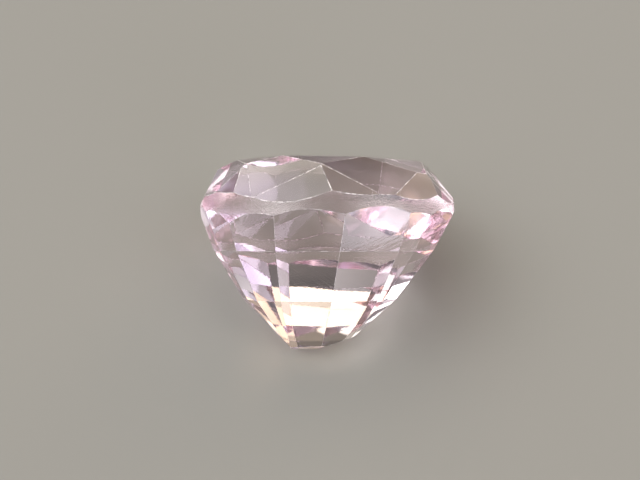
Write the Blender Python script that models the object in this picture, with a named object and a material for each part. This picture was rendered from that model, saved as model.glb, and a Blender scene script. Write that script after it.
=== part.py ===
"""Kunzite, hand cut as an oval gem with a bright crown and a stepped pavilion.

The stone is made as a gem cutter makes it. A block of rough is ground to an oval outline, and
flat facets are then cut round it in rows: steps below the girdle, and stars, mains and breaks
above it. The cuts are set out in millimetres with the stone upright, its axis along Z and the
middle of its girdle at Z = 0. The stone is then laid on one of its back facets, which is how a
loose gem comes to rest, and scaled to metres. It ends up with its resting facet on Z = 0 and
the middle of its bounding box over the origin.

Azimuths, slopes and parameters are in degrees. An azimuth turns round the stone's axis, 0 at
the front (-Y) and 90 at the right (+X). A slope is a facet's angle from the girdle plane. A
reach is how far from the axis a facet lies, along its own azimuth.
"""

import math
from typing import NamedTuple

import bmesh
import bpy
from mathutils import Matrix, Vector

MM = 0.001

# The girdle's outline is a superellipse, fuller at its corners than an ellipse.
HALF_LENGTH = 6.75
HALF_WIDTH = 5.61
OUTLINE_POWER = 2.25
GIRDLE_SIDES = 72

# Heights of the table, and of the level where the reach of a break facet is taken.
TABLE_HEIGHT = 2.41
BREAK_LEVEL = 0.42

# The lowest points of the pavilion lie this far towards the left end.
KEEL_SHIFT = -0.60

# The block of rough is larger than the stone on every side.
ROUGH_SIDE = 24.0

# Points this near a cut count as lying on it, and points this near each other are made one.
CUT_TOLERANCE = 1e-4
MERGE_DISTANCE = 2e-3

CRYSTAL_SLOT = 0
GIRDLE_SLOT = 1


class Ring(NamedTuple):
    """A level where two rows of pavilion steps meet, set in from the girdle's outline."""

    depth: float
    inset: float


class Column(NamedTuple):
    """One upright run of pavilion steps, set in a little further where it was cut deeper."""

    azimuth: float
    inset: float


class Facet(NamedTuple):
    """A single facet, at its reach on the level of its own row."""

    azimuth: float
    slope: float
    reach: float


RINGS = (
    Ring(depth=0.43, inset=0.07),
    Ring(depth=2.25, inset=0.90),
    Ring(depth=4.80, inset=2.60),
    Ring(depth=6.42, inset=4.20),
    Ring(depth=7.43, inset=5.24),
)

# Nine columns of steps round the front, from the left end to the right.
FRONT_COLUMNS = (
    Column(-97, 0.04),
    Column(-73, 0.08),
    Column(-55, 0.00),
    Column(-22, -0.08),
    Column(-4, 0.00),
    Column(15, 0.08),
    Column(32, -0.05),
    Column(55, 0.06),
    Column(83, 0.05),
)
# The back column is the one that the stone rests on, by its second step. Between it and the last
# column at each end there are three more, evenly spaced.
REST_COLUMN = Column(180, 0.00)
REST_STEP = 1
COLUMNS_BETWEEN = 3

# Two low facets of one slope close the bottom, one at the front and one at the back.
CULET_AZIMUTHS = (0, 180)
CULET_SLOPE = 24

# One more cut drops the right end of the keel, at its own depth.
KEEL_END = Facet(80, 20, 1.08)
KEEL_END_DEPTH = 7.03

# Crown facets of the front and the two ends. The back of each row mirrors its front.
END_STARS = (
    Facet(87, 20, 4.85),
    Facet(-90, 14, 4.72),
)
FRONT_STARS = (
    Facet(-40, 20, 4.44),
    Facet(6, 26, 3.72),
    Facet(37, 27, 3.92),
)
FRONT_MAINS = (
    Facet(-62, 48, 4.98),
    Facet(-14, 58, 4.38),
    Facet(18, 46, 3.94),
    Facet(71, 52.5, 5.06),
)
FRONT_BREAKS = (
    Facet(-80, 65, 6.62),
    Facet(-37.5, 60.5, 6.38),
    Facet(-21, 60, 5.87),
    Facet(-12, 61, 5.55),
    Facet(9.5, 54.5, 5.69),
    Facet(31, 58, 6.03),
    Facet(62, 62, 6.55),
    Facet(85, 46, 7.12),
)

# Polished crystal and the ground, unpolished girdle: colour and roughness.
CRYSTAL_COLOUR = (0.93, 0.81, 0.86, 1.0)
CRYSTAL_ROUGHNESS = 0.02
GIRDLE_COLOUR = (0.86, 0.80, 0.80, 1.0)
GIRDLE_ROUGHNESS = 0.45
KUNZITE_IOR = 1.66


def direction(azimuth):
    """The level unit vector at an azimuth."""
    turn = math.radians(azimuth)
    return Vector((math.sin(turn), -math.cos(turn), 0.0))


def outline_reach(azimuth):
    """How far the girdle's outline reaches in a direction: where its tangent lies."""
    power = OUTLINE_POWER / (OUTLINE_POWER - 1)
    level = direction(azimuth)
    along = (HALF_LENGTH * abs(level.x)) ** power
    across = (HALF_WIDTH * abs(level.y)) ** power
    return (along + across) ** (1 / power)


def outline_tangent(parameter):
    """A point of the girdle's outline, and the direction that it faces."""
    level = direction(parameter)
    share_x = abs(level.x) ** (2 / OUTLINE_POWER)
    share_y = abs(level.y) ** (2 / OUTLINE_POWER)
    point = Vector(
        (
            math.copysign(HALF_LENGTH * share_x, level.x),
            math.copysign(HALF_WIDTH * share_y, level.y),
            0.0,
        )
    )
    facing = Vector(
        (
            math.copysign(share_x ** (OUTLINE_POWER - 1) / HALF_LENGTH, level.x),
            math.copysign(share_y ** (OUTLINE_POWER - 1) / HALF_WIDTH, level.y),
            0.0,
        )
    )
    return point, facing.normalized()


def ring_reach(azimuth, ring):
    """How far a ring lies from the axis."""
    depth_share = (ring.depth - RINGS[0].depth) / (RINGS[-1].depth - RINGS[0].depth)
    keel = KEEL_SHIFT * depth_share * direction(azimuth).x
    return outline_reach(azimuth) - ring.inset + keel


def back_columns():
    """The resting column, and those between it and the last front column at each end."""
    yield REST_COLUMN
    for end in (FRONT_COLUMNS[0], FRONT_COLUMNS[-1]):
        gap = math.remainder(end.azimuth - REST_COLUMN.azimuth, 360)
        for place in range(1, COLUMNS_BETWEEN + 1):
            turn = gap * place / (COLUMNS_BETWEEN + 1)
            yield Column(REST_COLUMN.azimuth + turn, REST_COLUMN.inset)


def with_mirrored_back(front):
    """A row's front facets, and the same ones mirrored to the back of the stone."""
    yield from front
    for facet in front:
        yield Facet(180 - facet.azimuth, facet.slope, facet.reach)


def step_slope(column, step):
    """The slope of one step of a column, which joins two rings."""
    upper, lower = RINGS[step], RINGS[step + 1]
    run = ring_reach(column.azimuth, upper) - ring_reach(column.azimuth, lower)
    return math.degrees(math.atan2(lower.depth - upper.depth, run))


def cut_plane(facet, height, downwards=False):
    """The (point, normal) of a facet whose reach is taken at a height on the stone."""
    level = direction(facet.azimuth)
    slope = math.radians(facet.slope)
    rise = -math.cos(slope) if downwards else math.cos(slope)
    normal = level * math.sin(slope) + Vector((0.0, 0.0, rise))
    return level * facet.reach + Vector((0.0, 0.0, height)), normal


def girdle_planes():
    """The flats that the oval outline is ground from."""
    for side in range(GIRDLE_SIDES):
        yield outline_tangent(360 * (side + 0.5) / GIRDLE_SIDES)


def pavilion_planes():
    """The steps of every column, then the facets along the keel."""
    for column in (*FRONT_COLUMNS, *back_columns()):
        for step, ring in enumerate(RINGS[:-1]):
            reach = ring_reach(column.azimuth, ring) - column.inset
            facet = Facet(column.azimuth, step_slope(column, step), reach)
            yield cut_plane(facet, -ring.depth, downwards=True)
    for azimuth in CULET_AZIMUTHS:
        culet = Facet(azimuth, CULET_SLOPE, ring_reach(azimuth, RINGS[-1]))
        yield cut_plane(culet, -RINGS[-1].depth, downwards=True)
    yield cut_plane(KEEL_END, -KEEL_END_DEPTH, downwards=True)


def crown_planes():
    """The table, then the stars and mains round it and the breaks above the girdle."""
    yield Vector((0.0, 0.0, TABLE_HEIGHT)), Vector((0.0, 0.0, 1.0))
    for facet in END_STARS:
        yield cut_plane(facet, TABLE_HEIGHT)
    for facet in with_mirrored_back(FRONT_STARS + FRONT_MAINS):
        yield cut_plane(facet, TABLE_HEIGHT)
    for facet in with_mirrored_back(FRONT_BREAKS):
        yield cut_plane(facet, BREAK_LEVEL)


def grind(stone, point, normal, slot):
    """Takes off all of the stone beyond a plane, and closes it with one flat face."""
    bmesh.ops.bisect_plane(
        stone,
        geom=stone.verts[:] + stone.edges[:] + stone.faces[:],
        dist=CUT_TOLERANCE,
        plane_co=point,
        plane_no=normal,
        clear_outer=True,
    )
    rim = [edge for edge in stone.edges if edge.is_boundary]
    if not rim:
        return
    for face in bmesh.ops.contextual_create(stone, geom=rim)["faces"]:
        face.material_index = slot


def cut_stone():
    """The finished stone, upright and in millimetres."""
    stone = bmesh.new()
    bmesh.ops.create_cube(stone, size=ROUGH_SIDE)
    for point, normal in girdle_planes():
        grind(stone, point, normal, GIRDLE_SLOT)
    for point, normal in pavilion_planes():
        grind(stone, point, normal, CRYSTAL_SLOT)
    for point, normal in crown_planes():
        grind(stone, point, normal, CRYSTAL_SLOT)
    bmesh.ops.remove_doubles(stone, verts=stone.verts[:], dist=MERGE_DISTANCE)
    bmesh.ops.recalc_face_normals(stone, faces=stone.faces[:])
    return stone


def lay_down(stone):
    """Turns the resting facet down, sets it on Z = 0 and scales the stone to metres."""
    tip = Matrix.Rotation(-math.radians(step_slope(REST_COLUMN, REST_STEP)), 4, "X")
    bmesh.ops.transform(stone, matrix=tip, verts=stone.verts[:])
    spans = [[vert.co[axis] for vert in stone.verts] for axis in range(3)]
    middle_x = (min(spans[0]) + max(spans[0])) / 2
    middle_y = (min(spans[1]) + max(spans[1])) / 2
    place = Matrix.Translation((-middle_x, -middle_y, -min(spans[2])))
    to_metres = Matrix.Scale(MM, 4)
    bmesh.ops.transform(stone, matrix=to_metres @ place, verts=stone.verts[:])


def kunzite_material(name, colour, roughness):
    """Transparent kunzite with a given surface."""
    material = bpy.data.materials.new(name)
    material.use_nodes = True
    material.diffuse_color = colour
    shader = material.node_tree.nodes["Principled BSDF"]
    shader.inputs["Base Color"].default_value = colour
    shader.inputs["Metallic"].default_value = 0.0
    shader.inputs["Roughness"].default_value = roughness
    shader.inputs["IOR"].default_value = KUNZITE_IOR
    shader.inputs["Transmission Weight"].default_value = 1.0
    return material


def clear_scene():
    """Removes every object that is already there."""
    for obj in list(bpy.data.objects):
        bpy.data.objects.remove(obj, do_unlink=True)


def build_kunzite(collection):
    """Cuts the stone, lays it down and adds it to the collection."""
    stone = cut_stone()
    lay_down(stone)
    mesh = bpy.data.meshes.new("kunzite")
    stone.to_mesh(mesh)
    stone.free()
    mesh.materials.append(
        kunzite_material("polished kunzite", CRYSTAL_COLOUR, CRYSTAL_ROUGHNESS)
    )
    mesh.materials.append(
        kunzite_material("ground girdle", GIRDLE_COLOUR, GIRDLE_ROUGHNESS)
    )
    collection.objects.link(bpy.data.objects.new("kunzite", mesh))


def main():
    clear_scene()
    collection = bpy.data.collections.new("kunzite")
    bpy.context.scene.collection.children.link(collection)
    build_kunzite(collection)


main()
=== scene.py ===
"""The looks of a hand-cut oval kunzite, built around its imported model.

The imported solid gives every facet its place. This script makes the crystal that is seen in its
stead: the same facets with the narrow worn chamfers that hand polishing leaves between them, a
waxy, half-polished girdle, and clear pale pink kunzite inside. It then sets the stone on a pale
floor in soft studio light.

Sizes are in millimetres in every class and are turned to metres where a mesh is written.
"""

from __future__ import annotations

import logging
import math
from dataclasses import dataclass, fields
from enum import Enum

import bmesh
import bpy
import numpy as np
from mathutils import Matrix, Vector

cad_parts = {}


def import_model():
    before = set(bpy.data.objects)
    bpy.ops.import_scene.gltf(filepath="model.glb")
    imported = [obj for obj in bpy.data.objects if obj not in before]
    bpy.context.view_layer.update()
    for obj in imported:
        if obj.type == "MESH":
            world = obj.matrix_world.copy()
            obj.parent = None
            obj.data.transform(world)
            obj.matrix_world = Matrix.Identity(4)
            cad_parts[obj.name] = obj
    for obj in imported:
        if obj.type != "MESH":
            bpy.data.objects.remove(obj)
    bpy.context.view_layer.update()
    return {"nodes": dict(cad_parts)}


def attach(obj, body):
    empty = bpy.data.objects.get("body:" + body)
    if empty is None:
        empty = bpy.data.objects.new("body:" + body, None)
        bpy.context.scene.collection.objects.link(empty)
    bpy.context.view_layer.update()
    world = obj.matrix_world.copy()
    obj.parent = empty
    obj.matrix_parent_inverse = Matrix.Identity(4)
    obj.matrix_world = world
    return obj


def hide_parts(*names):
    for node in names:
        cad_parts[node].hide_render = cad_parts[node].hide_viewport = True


LOG = logging.getLogger("kunzite")
MM = 0.001
NODE = "kunzite"
BODY = "root"

# The mix node names its sockets alike for every data type, so its colours go by number.
MIX_SHARE, MIX_FIRST, MIX_SECOND, MIX_RESULT = 0, 6, 7, 2


class Surface(Enum):
    """The kinds of surface on the stone."""

    FACET = 0
    GIRDLE = 1
    EDGE = 2


def linear_colour(hex_code: str) -> tuple[float, float, float, float]:
    """Turns an sRGB hex colour into the linear values that shaders take.

    Args:
        hex_code: six hex digits, such as "F2DCE4".

    Returns:
        Red, green, blue and an alpha of 1.
    """
    display = np.array([int(hex_code[place : place + 2], 16) for place in (0, 2, 4)]) / 255
    low = display / 12.92
    high = ((display + 0.055) / 1.055) ** 2.4
    red, green, blue = np.where(display <= 0.04045, low, high)
    return float(red), float(green), float(blue), 1.0


def add_node(
    tree: bpy.types.NodeTree, kind: str, inputs: dict, **settings: object
) -> bpy.types.Node:
    """Adds a node with its settings, and fills or links its inputs.

    Args:
        tree: the node tree that it joins.
        kind: the node's type name.
        inputs: socket name or number to a plain value, or to the output socket that feeds it.
        settings: the node's own properties.

    Returns:
        The new node.
    """
    node = tree.nodes.new(kind)
    for name, value in settings.items():
        setattr(node, name, value)
    for socket, value in inputs.items():
        if isinstance(value, bpy.types.NodeSocket):
            tree.links.new(value, node.inputs[socket])
        else:
            node.inputs[socket].default_value = value
    return node


def new_material(name: str) -> tuple[bpy.types.Material, bpy.types.NodeTree]:
    """Makes an empty node material.

    Args:
        name: the material's name.

    Returns:
        The material and its node tree.
    """
    material = bpy.data.materials.new(name)
    material.use_nodes = True
    material.node_tree.nodes.clear()
    return material, material.node_tree


@dataclass(frozen=True)
class Finish:
    """How one kind of clear surface on the stone was left.

    Roughness 0 is a mirror polish. The grain is the share of the ground girdle's sandy relief,
    and the lines are the share of a polishing lap's faint scoring.
    """

    roughness: float
    grain: float
    lines: float


FINISHES = {
    Surface.FACET: Finish(roughness=0.0, grain=0.0, lines=1.0),
    Surface.GIRDLE: Finish(roughness=0.18, grain=1.0, lines=0.0),
}


@dataclass(frozen=True)
class Kunzite:
    """Kunzite, cut and polished: clear spodumene, pale pink through its depth.

    It bends light strongly, so what lies behind it is broken up into facets. Its colour is only
    in its body and gathers with depth, so the longest paths look the pinkest. Facets are mirror
    smooth with the faintest scoring, and the girdle is waxy with a sandy grain, rougher in some
    places than in others, as hand polishing leaves it. One material covers both, so that light
    leaves the same crystal that it entered, and the mesh says which surface is which.

    Real grain and scoring are finer than drawn: they are as coarse as they need to be to show.
    """

    ior: float = 1.66
    absorption: str = "FFBCE2"
    absorption_per_metre: float = 18.0
    patch_mm: float = 2.2
    patch_noise: tuple[float, float] = (0.35, 0.65)
    patch_share: tuple[float, float] = (0.5, 1.5)
    grain_mm: float = 0.14
    grain_height_mm: float = 0.009
    line_spacing_mm: float = 0.09
    line_length_mm: float = 2.5
    line_height_mm: float = 0.0009

    def make(self) -> bpy.types.Material:
        """Builds the material."""
        material, tree = new_material("kunzite, cut and polished")
        place = add_node(tree, "ShaderNodeTexCoord", {}).outputs["Object"]
        rough = self.add_drift(tree, place)
        shader = add_node(
            tree,
            "ShaderNodeBsdfPrincipled",
            {
                "Base Color": linear_colour("FFFFFF"),
                "Metallic": 0.0,
                "Roughness": rough,
                "IOR": self.ior,
                "Transmission Weight": 1.0,
                "Normal": self.add_relief(tree, place),
            },
        )
        body = add_node(
            tree,
            "ShaderNodeVolumeAbsorption",
            {"Color": linear_colour(self.absorption), "Density": self.absorption_per_metre},
        )
        surfaces = {"Surface": shader.outputs["BSDF"], "Volume": body.outputs["Volume"]}
        add_node(tree, "ShaderNodeOutputMaterial", surfaces)
        return material

    def add_drift(
        self, tree: bpy.types.NodeTree, place: bpy.types.NodeSocket
    ) -> bpy.types.NodeSocket:
        """Adds roughness that drifts between two shares of a surface's own.

        Args:
            tree: the material's node tree.
            place: the place on the stone.

        Returns:
            The roughness.
        """
        rough = add_node(tree, "ShaderNodeAttribute", {}, attribute_name="roughness")
        drift = add_node(
            tree,
            "ShaderNodeTexNoise",
            {"Vector": place, "Scale": 1 / (self.patch_mm * MM), "Detail": 2.0},
        )
        share = add_node(
            tree,
            "ShaderNodeMapRange",
            {
                "Value": drift.outputs["Fac"],
                "From Min": self.patch_noise[0],
                "From Max": self.patch_noise[1],
                "To Min": self.patch_share[0],
                "To Max": self.patch_share[1],
            },
        )
        here = add_node(
            tree,
            "ShaderNodeMath",
            {0: rough.outputs["Fac"], 1: share.outputs["Result"]},
            operation="MULTIPLY",
        )
        return here.outputs["Value"]

    def add_relief(
        self, tree: bpy.types.NodeTree, place: bpy.types.NodeSocket
    ) -> bpy.types.NodeSocket:
        """Adds the girdle's sandy grain and the facets' polishing lines.

        Args:
            tree: the material's node tree.
            place: the place on the stone.

        Returns:
            The bent normal.
        """
        sand = add_node(
            tree,
            "ShaderNodeTexNoise",
            {"Vector": place, "Scale": 1 / (self.grain_mm * MM), "Detail": 3.0},
        )
        grain = add_node(tree, "ShaderNodeAttribute", {}, attribute_name="grain")
        sandy = add_node(
            tree,
            "ShaderNodeBump",
            {
                "Height": sand.outputs["Fac"],
                "Distance": self.grain_height_mm * MM,
                "Strength": grain.outputs["Fac"],
            },
        )
        along = add_node(tree, "ShaderNodeUVMap", {}, uv_map="lap")
        stretch = (1 / self.line_length_mm, 1 / self.line_spacing_mm, 1.0)
        sweep = add_node(
            tree,
            "ShaderNodeVectorMath",
            {0: along.outputs["UV"], 1: stretch},
            operation="MULTIPLY",
        )
        score = add_node(
            tree,
            "ShaderNodeTexNoise",
            {"Vector": sweep.outputs["Vector"], "Scale": 1.0, "Detail": 2.0},
            noise_dimensions="2D",
        )
        lines = add_node(tree, "ShaderNodeAttribute", {}, attribute_name="lines")
        scored = add_node(
            tree,
            "ShaderNodeBump",
            {
                "Height": score.outputs["Fac"],
                "Distance": self.line_height_mm * MM,
                "Strength": lines.outputs["Fac"],
                "Normal": sandy.outputs["Normal"],
            },
        )
        return scored.outputs["Normal"]


@dataclass(frozen=True)
class WornFrostWithPaintedTone:
    """Kunzite bruised to a white frost, along the junctions of facets.

    The wear is a row of small chips. Each chip scatters light and looks white. Between them the
    edge is only dulled, and its grey is painted light and shade: it is set to the tone that the
    clear stone shows around it from the light seen through it. The frost is opaque, so that no
    light leaves the crystal through a material other than the one that it entered.
    """

    chip: str = "FFFAFC"
    # The dulled grey is painted. It stands in for the see-through tone of the stone around the
    # edge, which comes from light passing through the crystal.
    dulled_painted_see_through: str = "8E8588"
    roughness: float = 0.55
    chip_mm: float = 0.22
    chip_noise: tuple[float, float] = (0.42, 0.6)
    chip_height_mm: float = 0.01

    def make(self) -> bpy.types.Material:
        """Builds the material."""
        material, tree = new_material("kunzite, frosted by wear, with painted see-through tone")
        place = add_node(tree, "ShaderNodeTexCoord", {}).outputs["Object"]
        chips = add_node(
            tree,
            "ShaderNodeTexNoise",
            {"Vector": place, "Scale": 1 / (self.chip_mm * MM), "Detail": 3.0},
        )
        white = add_node(
            tree,
            "ShaderNodeMapRange",
            {
                "Value": chips.outputs["Fac"],
                "From Min": self.chip_noise[0],
                "From Max": self.chip_noise[1],
            },
        )
        # Between the chips is the painted see-through grey, and on them is white frost.
        colour = add_node(
            tree,
            "ShaderNodeMix",
            {
                MIX_SHARE: white.outputs["Result"],
                MIX_FIRST: linear_colour(self.dulled_painted_see_through),
                MIX_SECOND: linear_colour(self.chip),
            },
            data_type="RGBA",
        )
        relief = add_node(
            tree,
            "ShaderNodeBump",
            {"Height": chips.outputs["Fac"], "Distance": self.chip_height_mm * MM},
        )
        shader = add_node(
            tree,
            "ShaderNodeBsdfPrincipled",
            {
                "Base Color": colour.outputs[MIX_RESULT],
                "Roughness": self.roughness,
                "Normal": relief.outputs["Normal"],
            },
        )
        add_node(tree, "ShaderNodeOutputMaterial", {"Surface": shader.outputs["BSDF"]})
        return material


@dataclass(frozen=True)
class PaleFloor:
    """Matte pale board under the stone."""

    colour: str = "8A8884"
    roughness: float = 0.9

    def make(self) -> bpy.types.Material:
        """Builds the material."""
        material, tree = new_material("matte pale board")
        shader = add_node(
            tree,
            "ShaderNodeBsdfPrincipled",
            {"Base Color": linear_colour(self.colour), "Roughness": self.roughness},
        )
        add_node(tree, "ShaderNodeOutputMaterial", {"Surface": shader.outputs["BSDF"]})
        return material


@dataclass
class Stone:
    """The cut crystal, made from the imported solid's own facets.

    Points nearer than the merge distance are one point, and faces that differ by less than the
    flat angle are one facet. A girdle face's normal has less than the level share along the axis.
    """

    merge_mm: float = 0.0001
    flat_degrees: float = 0.1
    level_share: float = 0.02
    crown_wear_mm: tuple[float, float] = (0.012, 0.034)
    step_wear_mm: tuple[float, float] = (0.008, 0.018)
    least_bend: float = 2.0
    line_shift_mm: float = 100.0
    seed: int = 7

    def build(self, solid: bpy.types.Object) -> bpy.types.Object:
        """Makes the stone that is seen.

        Args:
            solid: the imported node.

        Returns:
            The finished stone, riding on the body and standing for the node.
        """
        work = self.whole_facets(solid)
        self.wear_edges(work)
        self.name_surfaces(work)
        mesh = bpy.data.meshes.new("kunzite_crystal")
        work.to_mesh(mesh)
        work.free()
        self.lay_out_lines(mesh)
        mesh.materials.append(Kunzite().make())
        mesh.materials.append(WornFrostWithPaintedTone().make())
        stone = bpy.data.objects.new("kunzite_crystal", mesh)
        bpy.context.scene.collection.objects.link(stone)
        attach(stone, BODY)
        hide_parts(NODE)
        return stone

    def axis(self, work: bmesh.types.BMesh) -> Vector:
        """Finds the stone's axis: the normal of its largest facet, the table."""
        return max(work.faces, key=lambda face: face.calc_area()).normal.copy()

    def whole_facets(self, solid: bpy.types.Object) -> bmesh.types.BMesh:
        """Joins the solid's loose triangles into whole flat facets, and marks the girdle.

        A face belongs to the girdle if its normal is square to the stone's axis.

        Args:
            solid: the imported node.

        Returns:
            The stone in millimetres, with one face for each facet.
        """
        work = bmesh.new()
        work.from_mesh(solid.data)
        bmesh.ops.scale(work, vec=(1 / MM, 1 / MM, 1 / MM), verts=work.verts[:])
        bmesh.ops.remove_doubles(work, verts=work.verts[:], dist=self.merge_mm)
        bmesh.ops.dissolve_limit(
            work,
            angle_limit=math.radians(self.flat_degrees),
            verts=work.verts[:],
            edges=work.edges[:],
        )
        bmesh.ops.recalc_face_normals(work, faces=work.faces[:])
        axis = self.axis(work)
        for face in work.faces:
            girdle = abs(face.normal.dot(axis)) < self.level_share
            face.smooth = girdle
            face.material_index = (Surface.GIRDLE if girdle else Surface.FACET).value
        return work

    def wear_edges(self, work: bmesh.types.BMesh) -> None:
        """Takes the sharp junctions down to narrow chamfers, wider on the crown than below it.

        A chamfer lies square to the middle of the two facets' normals. It is as wide as the wear
        if it is sunk by half the wear times the tangent of half the angle between the normals.

        Args:
            work: the stone in millimetres.
        """
        chance = np.random.default_rng(self.seed)
        axis = self.axis(work)
        cuts = []
        for edge in work.edges:
            first, second = edge.link_faces
            bend = first.normal.angle(second.normal)
            both_ground = first.smooth and second.smooth
            if both_ground or math.degrees(bend) < self.least_bend:
                continue
            crown = max(first.normal.dot(axis), second.normal.dot(axis)) > self.level_share
            wear = chance.uniform(*(self.crown_wear_mm if crown else self.step_wear_mm))
            normal = (first.normal + second.normal).normalized()
            cuts.append((edge.verts[0].co - normal * wear * math.tan(bend / 2) / 2, normal))
        for point, normal in cuts:
            self.cut(work, point, normal)

    def cut(self, work: bmesh.types.BMesh, point: Vector, normal: Vector) -> None:
        """Takes off what lies beyond a plane and closes the stone with one worn face.

        Args:
            work: the stone in millimetres.
            point: a point of the plane.
            normal: its normal, away from the stone.
        """
        bmesh.ops.bisect_plane(
            work,
            geom=work.verts[:] + work.edges[:] + work.faces[:],
            dist=self.merge_mm,
            plane_co=point,
            plane_no=normal,
            clear_outer=True,
        )
        rim = [edge for edge in work.edges if edge.is_boundary]
        if not rim:
            return
        for face in bmesh.ops.contextual_create(work, geom=rim)["faces"]:
            face.smooth = False
            face.material_index = Surface.EDGE.value

    def name_surfaces(self, work: bmesh.types.BMesh) -> None:
        """Writes each clear face's finish into the mesh, and turns the stone back to metres.

        Clear faces take the first material, and worn ones the second.

        Args:
            work: the stone in millimetres.
        """
        bmesh.ops.remove_doubles(work, verts=work.verts[:], dist=self.merge_mm)
        bmesh.ops.recalc_face_normals(work, faces=work.faces[:])
        names = [field.name for field in fields(Finish)]
        layers = {name: work.faces.layers.float.new(name) for name in names}
        for face in work.faces:
            surface = Surface(face.material_index)
            if surface in FINISHES:
                for name, layer in layers.items():
                    face[layer] = getattr(FINISHES[surface], name)
            face.material_index = int(surface is Surface.EDGE)
        bmesh.ops.scale(work, vec=(MM, MM, MM), verts=work.verts[:])

    def lay_out_lines(self, mesh: bpy.types.Mesh) -> None:
        """Gives every face its own flat coordinates in millimetres, turned by chance.

        With a face's normal n, its first direction is a chance direction less its part along n,
        and its second is n times the first. A corner's coordinates are its place along the two.

        Args:
            mesh: the finished stone, in metres.
        """
        chance = np.random.default_rng(self.seed)
        count, corners = len(mesh.polygons), len(mesh.loops)
        normals = np.empty(count * 3)
        mesh.polygons.foreach_get("normal", normals)
        normals = normals.reshape(-1, 3)
        free = chance.normal(size=(count, 3))
        first = free - normals * np.sum(free * normals, axis=1, keepdims=True)
        first /= np.linalg.norm(first, axis=1, keepdims=True)
        second = np.cross(normals, first)
        sizes = np.empty(count, dtype=np.int32)
        mesh.polygons.foreach_get("loop_total", sizes)
        owner = np.repeat(np.arange(count), sizes)
        points = np.empty(len(mesh.vertices) * 3)
        mesh.vertices.foreach_get("co", points)
        vertex = np.empty(corners, dtype=np.int32)
        mesh.loops.foreach_get("vertex_index", vertex)
        places = points.reshape(-1, 3)[vertex] / MM
        shift = chance.uniform(0, self.line_shift_mm, size=(count, 2))
        across = np.sum(places * first[owner], axis=1)
        along = np.sum(places * second[owner], axis=1)
        flat = np.stack([across, along], axis=1)
        layer = mesh.uv_layers.new(name="lap")
        layer.data.foreach_set("uv", (flat + shift[owner]).ravel())


@dataclass(frozen=True)
class Window:
    """A soft light far off, brightest at its middle and fading evenly all round.

    Its brightness falls with the angle from its middle as the cosine raised to its sharpness.
    """

    place: str
    azimuth: float
    elevation: float
    brightness: float
    sharpness: float = 20.0
    colour: str = "FFFFFF"

    def glow(self, tree: bpy.types.NodeTree, view: bpy.types.NodeSocket) -> bpy.types.NodeSocket:
        """Adds the nodes that give this light's share of the glow from any direction.

        Args:
            tree: the world's node tree.
            view: the direction looked in.

        Returns:
            The socket with the light's colour times its brightness in that direction.
        """
        turn, rise = math.radians(self.azimuth), math.radians(self.elevation)
        level = math.cos(rise)
        middle = (math.sin(turn) * level, math.cos(turn) * level, math.sin(rise))
        near = add_node(
            tree,
            "ShaderNodeVectorMath",
            {0: view, 1: middle},
            operation="DOT_PRODUCT",
        )
        ahead = add_node(
            tree,
            "ShaderNodeMath",
            {0: near.outputs["Value"], 1: 0.0},
            operation="MAXIMUM",
        )
        fade = add_node(
            tree,
            "ShaderNodeMath",
            {0: ahead.outputs["Value"], 1: self.sharpness},
            operation="POWER",
        )
        colour = tuple(self.brightness * part for part in linear_colour(self.colour)[:3])
        light = add_node(
            tree,
            "ShaderNodeVectorMath",
            {0: colour, "Scale": fade.outputs["Value"]},
            operation="SCALE",
            label=self.place,
        )
        return light.outputs["Vector"]


# Azimuths turn from 0 behind the stone to 90 at its right.
WINDOWS = (
    Window("key, at the left", azimuth=270, elevation=50, brightness=6.0),
    Window("front left", azimuth=225, elevation=50, brightness=4.0),
    Window("back left", azimuth=315, elevation=50, brightness=3.0, colour="F8FAEE"),
    Window("behind the stone", azimuth=0, elevation=50, brightness=2.0, colour="FFEFCC"),
    Window("fill, at the front right", azimuth=120, elevation=50, brightness=3.0),
    Window("low at the front right", azimuth=150, elevation=8, brightness=4.0, colour="EDEBFF"),
    Window("low at the back right", azimuth=45, elevation=30, brightness=2.5, colour="FFE3C0"),
)


@dataclass(frozen=True)
class Sky:
    """The dim room round the stone, with its windows."""

    windows: tuple[Window, ...] = WINDOWS
    room: str = "3C3B3A"

    def build(self) -> None:
        """Lights the scene from all round."""
        world = bpy.data.worlds.new("studio")
        world.use_nodes = True
        tree = world.node_tree
        tree.nodes.clear()
        view = add_node(tree, "ShaderNodeTexCoord", {}).outputs["Generated"]
        total = linear_colour(self.room)[:3]
        for window in self.windows:
            both = add_node(
                tree,
                "ShaderNodeVectorMath",
                {0: total, 1: window.glow(tree, view)},
                operation="ADD",
            )
            total = both.outputs["Vector"]
        back = add_node(tree, "ShaderNodeBackground", {"Color": total, "Strength": 1.0})
        add_node(tree, "ShaderNodeOutputWorld", {"Surface": back.outputs["Background"]})
        bpy.context.scene.world = world


@dataclass
class Studio:
    """The pale floor and the soft light round the stone."""

    floor_mm: float = 1500.0
    air_gap_mm: float = 0.02

    def build(self) -> None:
        """Lays the floor and hangs the lights."""
        self.lay_floor()
        Sky().build()

    def lay_floor(self) -> None:
        """Makes a level square board as a two by two grid of points.

        Its top lies a hair below Z = 0: the film of air that any two dry, hard surfaces keep.
        """
        side = np.array([-0.5, 0.5]) * self.floor_mm * MM
        across, along = np.meshgrid(side, side)
        level = np.full(across.size, -self.air_gap_mm * MM)
        points = np.stack([across.ravel(), along.ravel(), level], axis=1)
        mesh = bpy.data.meshes.new("floor")
        mesh.from_pydata(points.tolist(), [], [(0, 1, 3, 2)])
        mesh.materials.append(PaleFloor().make())
        floor = bpy.data.objects.new("floor", mesh)
        bpy.context.scene.collection.objects.link(floor)


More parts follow.
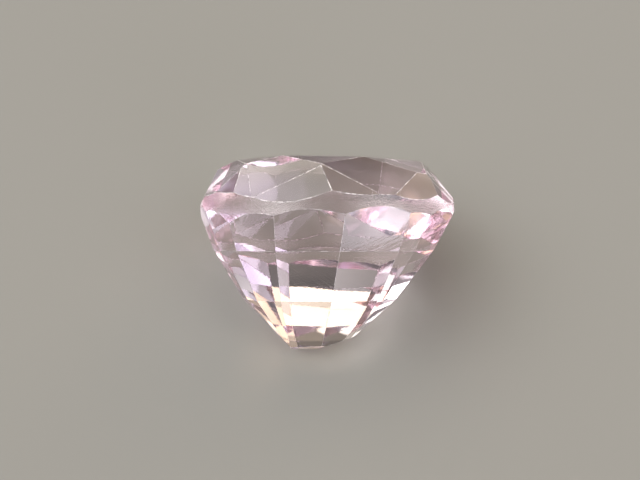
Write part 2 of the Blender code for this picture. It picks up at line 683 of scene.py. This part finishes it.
@dataclass(frozen=True)
class Viewpoint:
    """The camera, close to the stone and looking down at it from the front."""

    aim_mm: tuple[float, float, float] = (-0.38, -0.34, 4.22)
    distance_mm: float = 39.0
    elevation: float = 56.31
    lens_mm: float = 40.5
    sensor_mm: float = 36.0
    nearest_mm: float = 1.0
    farthest_mm: float = 10000.0

    def place(self) -> None:
        """Puts the camera in the scene and makes it the scene's own."""
        rise = math.radians(self.elevation)
        back = Vector((0.0, -math.cos(rise), math.sin(rise)))
        data = bpy.data.cameras.new("camera")
        data.lens = self.lens_mm
        data.sensor_width = self.sensor_mm
        data.clip_start = self.nearest_mm * MM
        data.clip_end = self.farthest_mm * MM
        camera = bpy.data.objects.new("camera", data)
        camera.rotation_mode = "QUATERNION"
        camera.rotation_quaternion = back.to_track_quat("Z", "Y")
        camera.location = (Vector(self.aim_mm) + back * self.distance_mm) * MM
        bpy.context.scene.collection.objects.link(camera)
        bpy.context.scene.camera = camera


@dataclass(frozen=True)
class LightPaths:
    """How far light is followed through the crystal, and how bright areas are shown."""

    bounces: int = 24
    floor_bounces: int = 4
    brightest: float = 10.0

    def apply(self) -> None:
        """Sets the path lengths that clear crystal needs, and how the picture is shown."""
        scene = bpy.context.scene
        scene.cycles.max_bounces = self.bounces
        scene.cycles.transmission_bounces = self.bounces
        scene.cycles.glossy_bounces = self.bounces
        scene.cycles.diffuse_bounces = self.floor_bounces
        scene.cycles.caustics_refractive = True
        scene.cycles.caustics_reflective = True
        scene.cycles.blur_glossy = 0.0
        scene.cycles.sample_clamp_indirect = self.brightest
        scene.cycles.use_denoising = True
        scene.view_settings.view_transform = "Standard"


def corners(box: tuple[Vector, Vector]) -> list[list[float]]:
    """Turns a box's two corners into plain lists."""
    return [list(corner) for corner in box]


def main() -> None:
    """Builds the stone and its studio in order."""
    logging.basicConfig(level=logging.INFO, format="%(name)s: %(message)s")
    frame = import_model()
    Viewpoint().place()
    LOG.info("camera placed")
    stone = Stone().build(frame["nodes"][NODE])
    LOG.info("%s has %d facets", stone.name, len(stone.data.polygons))
    Studio().build()
    LOG.info("floor laid and %d windows lit", len(WINDOWS))
    LightPaths().apply()


if __name__ == "__main__":
    main()
